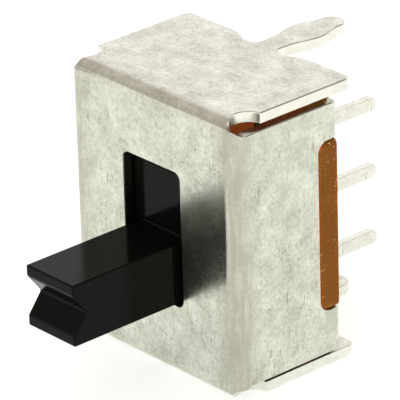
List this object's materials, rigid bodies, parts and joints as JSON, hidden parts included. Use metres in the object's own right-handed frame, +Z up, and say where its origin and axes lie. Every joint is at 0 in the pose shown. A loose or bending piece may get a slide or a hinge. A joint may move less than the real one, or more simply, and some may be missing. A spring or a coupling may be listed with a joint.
{
  "type": "slide switch",
  "caption": "Miniature right-angle slide switch: folded metal frame, black grooved knob in a slot, brown terminal board with pins, and two frame legs.",
  "frame": {"origin": "middle of the bottom plate's flat underside, on the switch's middle plane and half way from the front face to the back edges of the plates", "axes": "+Z up along the slide direction, -Y out of the front face along the knob, +Y along the terminals and legs, X across the switch"},
  "size_m": [0.0084, 0.0135, 0.0104],
  "materials": {
    "frame": "tin-plated sheet steel, pale grey, finely mottled and scratched, semi-gloss",
    "board": "orange-brown paper phenolic, satin",
    "slider": "black moulded plastic, glossy",
    "terminal": "tin-plated brass, pale grey, satin",
    "clip": "phosphor bronze strip, semi-bright",
    "spring": "drawn steel wire, bright"
  },
  "bodies": {
    "housing": {"frame": "frame", "terminal_board": "board", "terminal_left_upper": "terminal", "terminal_left_middle": "terminal", "terminal_left_lower": "terminal", "terminal_right_upper": "terminal", "terminal_right_middle": "terminal", "terminal_right_lower": "terminal"},
    "slider": {"slider": "slider", "contact_clip_left": "clip", "contact_clip_right": "clip", "contact_spring_left": "spring", "contact_spring_right": "spring"}
  },
  "joints": [
    {"name": "knob_slide", "type": "slide", "parent": "housing", "child": "slider", "axis": [0, 0, 1], "range_m": [0, 0.00254]}
  ]
}
